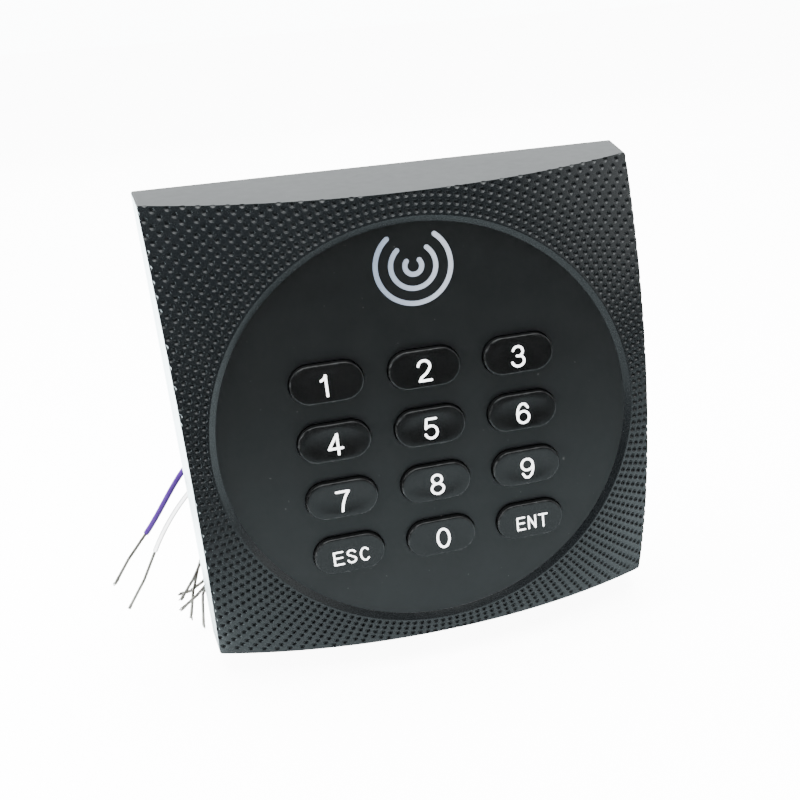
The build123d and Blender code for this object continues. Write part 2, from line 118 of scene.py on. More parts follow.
class Nodes:
    """Adds and links the nodes of one node tree."""

    def __init__(self, tree, coords):
        self.tree = tree
        self.coords = self.add("ShaderNodeTexCoord").outputs[coords]

    def add(self, kind, **values):
        node = self.tree.nodes.new(kind)
        for key, value in values.items():
            setattr(node, key, value)
        return node

    def link(self, source, target):
        self.tree.links.new(source, target)

    def split(self, vector):
        """The X, Y and Z outputs of a vector."""
        node = self.add("ShaderNodeSeparateXYZ")
        self.link(vector, node.inputs["Vector"])
        return node.outputs

    def noise(self, scale, detail=3.0, stretch=None):
        node = self.add("ShaderNodeTexNoise")
        node.inputs["Scale"].default_value = scale
        node.inputs["Detail"].default_value = detail
        if stretch:
            mapping = self.add("ShaderNodeMapping")
            mapping.inputs["Scale"].default_value = stretch
            self.link(self.coords, mapping.inputs["Vector"])
            self.link(mapping.outputs["Vector"], node.inputs["Vector"])
        else:
            self.link(self.coords, node.inputs["Vector"])
        return node.outputs["Fac"]

    def remap(self, value, low, high, out_low, out_high):
        node = self.add("ShaderNodeMapRange")
        names = ("From Min", "From Max", "To Min", "To Max")
        for key, number in zip(names, (low, high, out_low, out_high)):
            node.inputs[key].default_value = number
        self.link(value, node.inputs["Value"])
        return node.outputs["Result"]

    def mix(self, factor, first, second):
        node = self.add("ShaderNodeMix", data_type="RGBA")
        self.link(factor, node.inputs["Factor"])
        for socket, colour in ((node.inputs["A"], first), (node.inputs["B"], second)):
            if isinstance(colour, tuple):
                socket.default_value = (*colour, 1.0)
            else:
                self.link(colour, socket)
        return node.outputs["Result"]

    def math(self, operation, first, second):
        node = self.add("ShaderNodeMath", operation=operation)
        for socket, value in zip(node.inputs, (first, second)):
            if isinstance(value, (int, float)):
                socket.default_value = value
            else:
                self.link(value, socket)
        return node.outputs["Value"]

    def edge_mask(self, radius):
        """1 on convex and concave edges, 0 on flat areas."""
        bevel = self.add("ShaderNodeBevel", samples=4)
        bevel.inputs["Radius"].default_value = radius
        geometry = self.add("ShaderNodeNewGeometry")
        dot = self.add("ShaderNodeVectorMath", operation="DOT_PRODUCT")
        self.link(bevel.outputs["Normal"], dot.inputs[0])
        self.link(geometry.outputs["Normal"], dot.inputs[1])
        return self.remap(dot.outputs["Value"], 0.995, 0.9, 0.0, 1.0)


class Shader(Nodes):
    """The nodes of a new material."""

    def __init__(self, name):
        self.mat = bpy.data.materials.new(name)
        self.mat.use_nodes = True
        super().__init__(self.mat.node_tree, "Object")
        self.bsdf = self.tree.nodes["Principled BSDF"]


def plastic(name, base, second, rough=(0.3, 0.45), grain=0.0, grain_scale=5000.0, patch_scale=60.0,
            edge_wear_and_highlight=None, edge_wear_and_highlight_radius=0.0003, metallic=0.0, stretch=None, dust=0.0, fade=None):
    """Procedural finish: two close colours in soft patches, uneven gloss, fine grain and lighter edges:
    worn edges, and on the keys also a painted highlight along their rims.

    With fade, the colours run from left to right between two places on the X axis instead.
    """
    s = Shader(name)
    if fade:
        blend = s.remap(s.split(s.coords)["X"], *fade, 0.0, 1.0)
    else:
        blend = s.remap(s.noise(patch_scale, 4.0, stretch), 0.35, 0.65, 0.0, 1.0)
    colour = s.mix(blend, base, second)
    if dust:
        specks = s.remap(s.noise(900.0, 1.0), 0.78, 0.82, 0.0, dust)
        colour = s.mix(specks, colour, DUST_COLOUR)
    gloss = s.remap(s.noise(patch_scale * 7.0, 5.0, stretch), 0.3, 0.7, rough[0], rough[1])
    # lighter colour on edges: real wear, and on the keys also a painted highlight along their rims
    if edge_wear_and_highlight:
        uneven = s.remap(s.noise(700.0, 4.0), 0.4, 0.65, 0.0, 0.7)
        colour = s.mix(s.math("MULTIPLY", s.edge_mask(edge_wear_and_highlight_radius), uneven), colour, edge_wear_and_highlight)
    s.link(colour, s.bsdf.inputs["Base Color"])
    s.link(gloss, s.bsdf.inputs["Roughness"])
    s.bsdf.inputs["Metallic"].default_value = metallic
    s.bsdf.inputs["IOR"].default_value = 1.5
    if grain:
        bump = s.add("ShaderNodeBump")
        bump.inputs["Distance"].default_value = grain
        bump.inputs["Strength"].default_value = 1.0
        s.link(s.noise(grain_scale, 3.0, stretch), bump.inputs["Height"])
        s.link(bump.outputs["Normal"], s.bsdf.inputs["Normal"])
    return s


def make_mesh(name, verts, faces, materials, unit=MM, smooth_angle=35.0):
    mesh = bpy.data.meshes.new(name)
    mesh.from_pydata([(x * unit, y * unit, z * unit) for x, y, z in verts], [], faces)
    mesh.update()
    obj = bpy.data.objects.new(name, mesh)
    scene.collection.objects.link(obj)
    for material in materials:
        mesh.materials.append(material.mat)
    mesh.shade_smooth()
    mesh.set_sharp_from_angle(angle=math.radians(smooth_angle))
    return obj


# ---- materials --------------------------------------------------------------------------------------
cover_skin = plastic("cover_texture", (0.0045, 0.0055, 0.0062), (0.0055, 0.0065, 0.0072),
                     rough=(0.22, 0.29), grain=0.000003, grain_scale=9000.0, edge_wear_and_highlight=(0.016, 0.018, 0.019))
disc_skin = plastic("cover_disc", (0.0055, 0.0064, 0.0068), (0.0062, 0.0071, 0.0076),
                    rough=(0.34, 0.42), grain=0.000003, grain_scale=12000.0, patch_scale=25.0, dust=0.12)
side_skin = plastic("cover_sides", (0.012, 0.0135, 0.015), (0.015, 0.0165, 0.018),
                    rough=(0.29, 0.33), grain=0.000001, grain_scale=9000.0, edge_wear_and_highlight=(0.05, 0.052, 0.055))
# the keys' light edge colour is partly wear and partly a painted highlight along their rounded rims
key_skin = plastic("key_plastic_gloss", (0.0036, 0.0038, 0.0039), (0.0044, 0.0046, 0.0047),
                   rough=(0.14, 0.22), grain=0.000002, grain_scale=3000.0,
                   edge_wear_and_highlight=(0.2, 0.205, 0.21), edge_wear_and_highlight_radius=0.0004)
# the sides of the keys are matt, only their fronts are glossy
key_normal = key_skin.split(key_skin.add("ShaderNodeTexCoord").outputs["Normal"])
key_gloss = key_skin.remap(key_normal["Y"], -0.7, -0.2, 0.5, 0.02)
key_skin.link(key_gloss, key_skin.bsdf.inputs["Specular IOR Level"])
glowing_ink = plastic("legend_ink", (0.84, 0.85, 0.86), (0.78, 0.79, 0.80), rough=(0.45, 0.6), grain=0.000002)
# painted light: the white print glows by itself, so it reads brighter than lit print
glowing_ink.bsdf.inputs["Emission Color"].default_value = (1, 1, 1, 1)
glowing_ink.bsdf.inputs["Emission Strength"].default_value = 2.6


# ---- front cover: domed skin with dimples ---------------------------------------------------------------
DOME_PUSH = 1.0        # the CAD dome goes this far forward before the dimpled solid trims it
DOME_SOLID_REAR_Y = 20.0


def dome_y(radius):
    return DOME_CENTRE_Y - math.sqrt(DOME_RADIUS**2 - radius**2)


def half_width(y):
    """Half the outer width of the cover's tapered walls."""
    return REAR_HALF + (y - COVER_REAR_Y) * DRAFT


class MeshBuilder:
    """Collects vertices and faces; a vertex asked for twice under one key is made once."""

    def __init__(self):
        self.verts = []
        self.faces = []
        self.known = {}

    def vertex(self, point):
        self.verts.append(point)
        return len(self.verts) - 1

    def shared(self, key, point):
        if key not in self.known:
            self.known[key] = self.vertex(point)
        return self.known[key]

    def band(self, first, second):
        count = len(first)
        for i in range(count):
            j = (i + 1) % count
            self.faces.append((first[i], first[j], second[j], second[i]))


def polar(radius, degrees, depth=0.0):
    """Point of the dome at a radius and an angle clockwise from up, sunk by depth along the dome's normal."""
    angle = math.radians(degrees)
    scale = 1.0 - depth / DOME_RADIUS
    rise = math.sqrt(DOME_RADIUS**2 - radius**2)
    return (
        radius * math.sin(angle) * scale,
        DOME_CENTRE_Y - rise * scale,
        radius * math.cos(angle) * scale,
    )


def row_radius(row):
    """Radius of a ring of dimples; the rings stand slightly further apart towards the corners."""
    return FIRST_ROW_RADIUS + ROW_STEP * row + ROW_STEP_GROWTH * row * row


def build_dome_solid():
    """Closed solid bounded in front by the dimpled dome and the sloping ring round the disc."""
    b = MeshBuilder()

    def grid(m, n):
        m = m % (SPLIT * COLUMNS)
        return b.shared((m, n), polar(row_radius(n / SPLIT - 0.5), (m / SPLIT - 0.5) * COLUMN_ANGLE))

    for row in range(ROWS):
        radius = row_radius(row)
        for column in range(COLUMNS):
            angle = column * COLUMN_ANGLE
            x = radius * math.sin(math.radians(angle))
            z = radius * math.cos(math.radians(angle))
            m0, n0 = SPLIT * column, SPLIT * row
            inside = abs(x) < REAR_HALF and PLAIN_STRIP_Z < z < REAR_HALF
            if not inside:
                for i in range(SPLIT):
                    for j in range(SPLIT):
                        b.faces.append((grid(m0 + i, n0 + j), grid(m0 + i + 1, n0 + j),
                                        grid(m0 + i + 1, n0 + j + 1), grid(m0 + i, n0 + j + 1)))
                continue
            depth = DIMPLE_DEPTH + DEEPER_BY_HEIGHT * z
            m1, n1 = m0 + SPLIT, n0 + SPLIT
            rim = [(m0 + i, n0) for i in range(SPLIT)] + [(m1, n0 + j) for j in range(SPLIT)]
            rim += [(m1 - i, n1) for i in range(SPLIT)] + [(m0, n1 - j) for j in range(SPLIT)]
            ring = [grid(m, n) for m, n in rim]
            for fraction, sink in DIMPLE_PROFILE:
                inner = []
                for i in range(len(ring)):
                    turn = math.radians(-135.0 + 360.0 * i / len(ring))
                    across = fraction * DIMPLE_RADIUS * math.cos(turn)
                    outward = fraction * DIMPLE_RADIUS * math.sin(turn)
                    sideways = math.degrees(across / radius)
                    inner.append(b.vertex(polar(radius + outward, angle + sideways, sink * depth)))
                b.band(ring, inner)
                ring = inner
            middle = b.vertex(polar(radius, angle, depth))
            for i in range(len(ring)):
                b.faces.append((ring[i], ring[(i + 1) % len(ring)], middle))
    # sloping ring from the lip down to the disc
    profile = [(LIP_RADIUS + 0.1, dome_y(LIP_RADIUS + 0.1) + 0.004),
               (LIP_RADIUS - 0.03, dome_y(LIP_RADIUS) + 0.035),
               (DISC_RADIUS + 0.025, DISC_Y - 0.05)]
    around = range(SPLIT * COLUMNS)
    turns = [math.radians((m / SPLIT - 0.5) * COLUMN_ANGLE) for m in around]
    outer = [grid(m, 0) for m in around]
    for radius, y in profile:
        inner = [b.vertex((radius * math.sin(turn), y, radius * math.cos(turn))) for turn in turns]
        b.band(inner, outer)
        outer = inner
    b.faces.append(tuple(reversed(outer)))
    # outer wall and rear face, well behind the cover
    rim = [grid(m, SPLIT * ROWS) for m in around]
    behind = [b.vertex((b.verts[i][0], DOME_SOLID_REAR_Y, b.verts[i][2])) for i in rim]
    b.band(rim, behind)
    b.faces.append(tuple(behind))
    return make_mesh("dome_solid", b.verts, b.faces, [cover_skin], unit=1.0)


def cover_zone(place):
    """0 on the dimpled skin, 1 on the disc, 2 on the side walls and everything behind."""
    half = half_width(place.y) - CORNER_RADIUS
    over_x, over_z = abs(place.x) - half, abs(place.z) - half
    reach = math.hypot(over_x, over_z) if over_x > 0 and over_z > 0 else max(over_x, over_z)
    if reach > CORNER_RADIUS - 0.04:
        return 2
    radius = math.hypot(place.x, place.z)
    if radius < DISC_RADIUS + 0.05:
        return 1 if place.y < DISC_Y + 2.3 else 2
    return 2 if place.y > dome_y(radius) + 0.8 and radius > LIP_RADIUS else 0


def sharpen_borders(mesh):
    """Mark every edge between two materials as sharp, so that the walls keep their even shading."""
    zones = {}
    for face in mesh.polygons:
        for key in face.edge_keys:
            zones.setdefault(key, set()).add(face.material_index)
    for edge in mesh.edges:
        if len(zones[edge.key]) > 1:
            edge.use_edge_sharp = True


def build_front_cover():
    """The CAD cover with its dome pushed forward and trimmed by the dimpled solid."""
    source = nodes["front_cover"].data
    mesh = bpy.data.meshes.new("front_cover_skin")
    bm = bmesh.new()
    bm.from_mesh(source)
    bmesh.ops.scale(bm, vec=(1 / MM,) * 3, verts=bm.verts)
    bmesh.ops.remove_doubles(bm, verts=bm.verts, dist=1e-4)
    centre = Vector((0, DOME_CENTRE_Y, 0))
    for v in bm.verts:
        off_dome = abs((v.co - centre).length - DOME_RADIUS) > 0.03
        if off_dome or math.hypot(v.co.x, v.co.z) < LIP_RADIUS - 0.2:
            continue
        half = half_width(v.co.y)
        for axis in (0, 2):
            if abs(v.co[axis]) > half - CORNER_RADIUS - 0.02:
                v.co[axis] -= math.copysign(DOME_PUSH * DRAFT, v.co[axis])
        v.co.y -= DOME_PUSH
    bmesh.ops.triangulate(bm, faces=bm.faces)
    bm.to_mesh(mesh)
    bm.free()
    cover = bpy.data.objects.new("front_cover_skin", mesh)
    scene.collection.objects.link(cover)
    cutter = build_dome_solid()
    trim = cover.modifiers.new("trim", "BOOLEAN")
    trim.operation = "INTERSECT"
    trim.solver = "MANIFOLD"
    trim.object = cutter
    bpy.context.view_layer.update()
    evaluated = cover.evaluated_get(bpy.context.evaluated_depsgraph_get())
    result = bpy.data.meshes.new_from_object(evaluated)
    cover.modifiers.clear()
    cover.data = result
    bpy.data.objects.remove(cutter)
    result.transform(Matrix.Scale(MM, 4))
    result.materials.clear()
    for skin in (cover_skin, disc_skin, side_skin):
        result.materials.append(skin.mat)
    result.shade_smooth()
    result.set_sharp_from_angle(angle=math.radians(38.0))
    for face in result.polygons:
        face.material_index = cover_zone(face.center / MM)
        flat_wall = face.material_index == 2 and max(abs(face.normal.x), abs(face.normal.z)) > 0.9954
        flat_disc = face.material_index == 1 and abs(face.normal.y) > 0.95
        face.use_smooth = not (flat_wall or flat_disc)
    sharpen_borders(result)
    cover.modifiers.new("even_normals", "WEIGHTED_NORMAL").keep_sharp = True
    return cover


cover = build_front_cover()
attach(cover, "housing")
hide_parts("front_cover")


# ---- keys -----------------------------------------------------------------------------------------------
KEYS = ["1", "2", "3", "4", "5", "6", "7", "8", "9", "esc", "0", "ent"]
SPINE = 4.0            # half length of the straight part of every oval
KEY_RADIUS = 4.8
FLANGE_RADIUS = 6.3
STEM_RADIUS = 3.0
KEY_TOP = -30.2
FLANGE_FRONT = -26.3
FLANGE_REAR = -25.5
STEM_END = -23.65
DISH_SPREAD = (380.0, 92.0)  # twice the radii of the finger dish, across and upright
DISH_SOFTNESS = 0.0004       # rounds the rim of the dish


def dish(x, z):
    """Depth of the finger dish below the key top at a place measured from the key's centre."""
    raw = KEY_DISH_DEPTH - x * x / DISH_SPREAD[0] - z * z / DISH_SPREAD[1]
    return 0.5 * (raw + math.sqrt(raw * raw + DISH_SOFTNESS))


def oval(radius, arc_steps=14, straight_steps=8):
    """Points of an oval round the spine, each with the place on the spine it belongs to."""
    points = []
    for side in (1, -1):
        for i in range(arc_steps + 1):
            turn = math.radians(90.0 * side - 180.0 * i / arc_steps)
            middle = SPINE * side
            points.append((middle + radius * math.cos(turn), radius * math.sin(turn), middle))
        for i in range(1, straight_steps):
            x = side * SPINE * (1 - 2 * i / straight_steps)
            points.append((x, -radius * side, x))
    return points


def build_key(name):
    """One key cap with its stem and flange; returns its centre in the plan of the cover."""
    low, high = box_mm("key_" + name)
    centre_x, centre_z = (low.x + high.x) / 2, (low.z + high.z) / 2
    b = MeshBuilder()
    bevel = 0.05
    profile = [(STEM_RADIUS - 0.2, STEM_END), (STEM_RADIUS, STEM_END - 0.2), (STEM_RADIUS, FLANGE_REAR),
               (FLANGE_RADIUS - bevel, FLANGE_REAR), (FLANGE_RADIUS, FLANGE_REAR - bevel),
               (FLANGE_RADIUS, FLANGE_FRONT + bevel), (FLANGE_RADIUS - bevel, FLANGE_FRONT),
               (KEY_RADIUS, FLANGE_FRONT)]
    edge_y = KEY_TOP + KEY_EDGE_RADIUS
    for step in range(9):
        turn = math.radians(90.0 * step / 8)
        profile.append((KEY_RADIUS - KEY_EDGE_RADIUS * (1 - math.cos(turn)),
                        edge_y - KEY_EDGE_RADIUS * math.sin(turn)))
    for radius in (4.1, 3.8, 3.5, 3.1, 2.6, 2.0, 1.3, 0.7):
        profile.append((radius, None))

    def ring(radius, y):
        places = []
        for x, z, _ in oval(radius):
            depth = y if y is not None else KEY_TOP + dish(x, z)
            places.append(b.vertex((centre_x + x, depth, centre_z + z)))
        return places

    def close(edge, y, flip):
        spine = []
        for _, _, s in oval(1.0):
            depth = KEY_TOP + dish(s, 0) if y is None else y
            spine.append(b.shared((round(s, 3), y), (centre_x + s, depth, centre_z)))
        count = len(edge)
        for i in range(count):
            j = (i + 1) % count
            face = [edge[i], edge[j], spine[j]] + ([spine[i]] if spine[i] != spine[j] else [])
            b.faces.append(tuple(reversed(face)) if flip else tuple(face))

    rings = [ring(radius, y) for radius, y in profile]
    close(rings[0], STEM_END, False)
    for first, second in zip(rings, rings[1:]):
        b.band(second, first)
    close(rings[-1], None, True)
    key = make_mesh("key_cap_" + name, b.verts, b.faces, [key_skin])
    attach(key, "button_" + name)
    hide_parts("key_" + name)
    return centre_x, centre_z


# ---- lettering on the keys ------------------------------------------------------------------------------
# Each sign is a set of strokes on a box 2 wide and 2 high about its centre; what reaches past the top or the
# bottom of the box is cut off. A stroke is a list of points, in which ("arc", x, z, reach_x, reach_z,
# from_angle, to_angle) stands for the points of an arc, angles in degrees.
SIGNS = {
    "0": [[("arc", 0, 0, 1, 1, 0, 360)]],
    "1": [[(0.0, -2), (0.0, 1.0)], [(0.0, 0.95), (-0.3, 0.68), (-0.75, 0.5)]],
    "2": [[("arc", 0, 0.42, 0.95, 0.58, 172, -30), (0.3, -0.3), (-0.55, -0.66), (-0.85, -1), (1.02, -1)]],
    "3": [[("arc", -0.02, 0.5, 0.82, 0.5, 165, -70), (-0.2, 0.04), (0.35, 0.0),
           ("arc", -0.05, -0.46, 1.0, 0.54, 65, -168)]],
    "4": [[(0.42, -2), (0.42, 1.0), (-1.05, -0.44), (1.12, -0.44)]],
    "5": [[(0.9, 1), (-0.62, 1), (-0.84, 0.06), (-0.5, 0.24), ("arc", 0.0, -0.36, 1.0, 0.64, 105, -162)]],
    "6": [[("arc", 0.04, -0.4, 0.96, 0.6, 0, 360)],
          [("arc", 0.12, -0.1, 1.08, 1.1, 192, 95), (0.45, 0.94), (0.86, 0.56)]],
    "7": [[(-1, 1), (0.98, 1), (0.35, 0.42), (-0.1, -0.3), (-0.3, -1.0), (-0.33, -2)]],
    "8": [[("arc", 0, 0.53, 0.8, 0.47, 0, 360)], [("arc", 0, -0.47, 1.0, 0.53, 0, 360)]],
    "e": [[(1.1, 1), (-1, 1), (-1, -1), (1.15, -1)], [(-1, 0.05), (0.95, 0.05)]],
    "s": [[("arc", 0, 0.5, 0.93, 0.5, 20, 180), ("arc", 0, 0.52, 0.93, 0.4, 180, 235), (0, 0.03),
           ("arc", 0, -0.5, 0.98, 0.42, 55, 0), ("arc", 0, -0.48, 0.98, 0.52, 0, -165)]],
    "c": [[("arc", 0.05, 0, 1.05, 1, 42, 318)]],
    "n": [[(-1, -2), (-1, 1.0), (1, -1.0), (1, 2)]],
    "t": [[(-1.2, 1), (1.2, 1)], [(0, 1), (0, -2)]],
}
SIGNS["9"] = [[(-p[0], -p[1]) if p[0] != "arc" else ("arc", -p[1], -p[2], p[3], p[4], p[5] + 180, p[6] + 180)
               for p in stroke] for stroke in SIGNS["6"]]
DIGIT_SIZE = (3.65, 5.65)
DIGIT_STROKE = 0.62
DIGIT_DOWN = 0.4
LETTER_HEIGHT = 3.8
LETTER_WIDTHS = {"esc": 2.5, "ent": 2.25}
LETTER_STROKE = 0.47
LETTER_DOWN = 0.62
LETTER_STEPS = {"esc": 3.3, "ent": 3.0}
INK_PROUD = 0.03
INK_SUNK = 0.12
LEAN = 0.012           # the signs move sideways by this part of their key's height
GRID = 0.13


def stroke_points(stroke, reach_across, reach_up):
    """The points of a stroke in mm, with its arcs resolved."""
    points = []
    for item in stroke:
        if item[0] == "arc":
            _, x, z, reach_x, reach_z, first, last = item
            steps = max(6, int(abs(last - first) / 9))
            for i in range(steps + 1):
                turn = math.radians(first + (last - first) * i / steps)
                points.append((x + reach_x * math.cos(turn), z + reach_z * math.sin(turn)))
        else:
            points.append(item)
    return [(x * reach_across, z * reach_up) for x, z in points]


def stroke_cover(xs, zs, sign, size, stroke_width, centre):
    """How far inside the sign each grid point is, negative outside, in mm."""
    half = stroke_width / 2
    nearest = np.full(np.broadcast(xs, zs).shape, 1e9)
    for stroke in SIGNS[sign]:
        points = stroke_points(stroke, size[0] / 2 - half, size[1] / 2 - half)
        for (ax, az), (bx, bz) in zip(points, points[1:]):
            ax, bx = ax + centre, bx + centre
            run = (bx - ax) ** 2 + (bz - az) ** 2
            along = np.clip(((xs - ax) * (bx - ax) + (zs - az) * (bz - az)) / max(run, 1e-9), 0, 1)
            gap = np.hypot(xs - ax - along * (bx - ax), zs - az - along * (bz - az))
            nearest = np.minimum(nearest, gap)
    return np.minimum(half - nearest, size[1] / 2 - abs(zs))


def build_legend(name, centre_x, centre_z):
    """Printed lettering, a thin closed sheet that follows the dish of the key."""
    size, width, down = DIGIT_SIZE, DIGIT_STROKE, DIGIT_DOWN
    if len(name) > 1:
        size, width, down = (LETTER_WIDTHS[name], LETTER_HEIGHT), LETTER_STROKE, LETTER_DOWN
    across = np.arange(-5.2, 5.6, GRID)
    upward = np.arange(-3.7, 3.1, GRID)
    xs, zs = np.meshgrid(across, upward, indexing="ij")
    field = np.full(xs.shape, -1e9)
    for i, sign in enumerate(name):
        centre = (i - (len(name) - 1) / 2) * LETTER_STEPS.get(name, 0.0) - LEAN * centre_z
        field = np.maximum(field, stroke_cover(xs, zs + down, sign, size, width, centre))
    b = MeshBuilder()
    borders = {}

    def sheet_vertex(key, x, z):
        """Front vertex of the sheet at a place; the rear one is made right after it."""
        y = KEY_TOP + dish(x, z)
        front = b.shared((key, "front"), (centre_x + x, y - INK_PROUD, centre_z + z))
        b.shared((key, "rear"), (centre_x + x, y + INK_SUNK, centre_z + z))
        return front

    def rear(front):
        return front + 1

    for i in range(len(across) - 1):
        for j in range(len(upward) - 1):
            corners = [(i, j), (i + 1, j), (i + 1, j + 1), (i, j + 1)]
            values = [field[c] for c in corners]
            if max(values) <= 0:
                continue
            loop = []
            for k in range(4):
                here, there = corners[k], corners[(k + 1) % 4]
                value, other = values[k], values[(k + 1) % 4]
                if value > 0:
                    loop.append(sheet_vertex(here, across[here[0]], upward[here[1]]))
                if (value > 0) != (other > 0):
                    part = min(max(value / (value - other), 0.02), 0.98)
                    if here > there:
                        here, there, part = there, here, 1 - part
                    x = across[here[0]] + part * (across[there[0]] - across[here[0]])
                    z = upward[here[1]] + part * (upward[there[1]] - upward[here[1]])
                    loop.append(sheet_vertex((here, there), x, z))
            b.faces.append(tuple(loop))
            b.faces.append(tuple(rear(v) for v in reversed(loop)))
            for k, first in enumerate(loop):
                second = loop[(k + 1) % len(loop)]
                if (second, first) in borders:
                    del borders[(second, first)]
                else:
                    borders[(first, second)] = True
    for first, second in borders:
        b.faces.append((second, first, rear(first), rear(second)))
    legend = make_mesh("legend_" + name, b.verts, b.faces, [glowing_ink])
    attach(legend, "button_" + name)


for key_name in KEYS:
    build_legend(key_name, *build_key(key_name))


# ---- stripped wire ends: seven twisted strands each -------------------------------------------------------------
RING_SPREAD = 0.7
STRAND_RADIUS = 0.16
BUNDLE_RADIUS = 0.29
TWIST_PITCH = 4.2
AXIS_POINTS = 28
OUTER_STRANDS = 6      # round one straight strand in the middle
MOST_FRAY = 0.28
FRAY_FROM = 0.82       # part of the length after which the strands spread out


def tube(b, points, radius, sides=7):
    """A closed round tube along the points, with a carried-along frame."""
    rings = []
    side = Vector((1, 0, 0))
    for i, point in enumerate(points):
        ahead = (points[min(i + 1, len(points) - 1)] - points[max(i - 1, 0)]).normalized()
        side = (side - ahead * side.dot(ahead)).normalized()
        up = ahead.cross(side)
        rings.append([b.vertex(tuple(point + radius * (side * math.cos(a) + up * math.sin(a))))
                      for a in (2 * math.pi * k / sides for k in range(sides))])
    for first, second in zip(rings, rings[1:]):
        b.band(first, second)
    b.faces.append(tuple(reversed(rings[0])))
    b.faces.append(tuple(rings[-1]))


def islands(mesh):
    """Vertex places of each separate solid of a mesh, in mm."""
    bm = bmesh.new()
    bm.from_mesh(mesh)
    bmesh.ops.remove_doubles(bm, verts=bm.verts, dist=1e-7)
    seen, groups = set(), []
    for start in bm.verts:
        if start in seen:
            continue
        seen.add(start)
        group, queue = [], [start]
        while queue:
            vertex = queue.pop()
            group.append(tuple(vertex.co / MM))
            for edge in vertex.link_edges:
                other = edge.other_vert(vertex)
                if other not in seen:
                    seen.add(other)
                    queue.append(other)
        groups.append(np.array(group))
    bm.free()
    return groups


def centre_line(places, count):
    """Evenly spaced points along the middle of a thin bent rod that runs down and to the left."""
    travel = -(places[:, 0] + places[:, 2])
    order = np.argsort(travel)
    places, travel = places[order], travel[order]
    centres = []
    first = 0
    while first < len(places):
        cut = first + 1
        while cut < len(places) and travel[cut] - travel[first] < RING_SPREAD:
            cut += 1
        centres.append((travel[first:cut].mean(), *places[first:cut].mean(axis=0)))
        first = cut
    centres = np.array(centres)
    steps = np.linspace(centres[0, 0], centres[-1, 0], count)
    return [Vector([np.interp(t, centres[:, 0], centres[:, k]) for k in (1, 2, 3)]) for t in steps]


strand_metal = plastic("tinned_strands", (0.17, 0.15, 0.13), (0.30, 0.27, 0.24), rough=(0.3, 0.5),
                       metallic=0.9, grain=0.00001, grain_scale=4000.0, patch_scale=400.0)
dice = random.Random(7)
strands = MeshBuilder()
for group in islands(nodes["bare_wire_ends"].data):
    axis = centre_line(group, AXIS_POINTS)
    last = AXIS_POINTS - 1
    length = sum((q - p).length for p, q in zip(axis, axis[1:]))
    for strand in range(OUTER_STRANDS + 1):
        in_middle = strand == OUTER_STRANDS
        phase = 2 * math.pi * strand / OUTER_STRANDS
        fray = dice.uniform(0.0, MOST_FRAY)
        trim = 1 if in_middle else dice.randint(0, 2)
        path = []
        for i, point in enumerate(axis[:AXIS_POINTS - trim]):
            ahead = (axis[min(i + 1, last)] - axis[max(i - 1, 0)]).normalized()
            side = ahead.cross(Vector((0, 1, 0))).normalized()
            up = ahead.cross(side)
            part = i / last
            turn = phase + 2 * math.pi * length * part / TWIST_PITCH
            spread = fray * max(0.0, part - FRAY_FROM) / (1 - FRAY_FROM)
            reach = 0.0 if in_middle else BUNDLE_RADIUS + spread
            path.append(point + reach * (side * math.cos(turn) + up * math.sin(turn)))
        tube(strands, path, STRAND_RADIUS)
bare_ends = make_mesh("twisted_wire_ends", strands.verts, strands.faces, [strand_metal], smooth_angle=50.0)
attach(bare_ends, "housing")
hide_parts("bare_wire_ends")

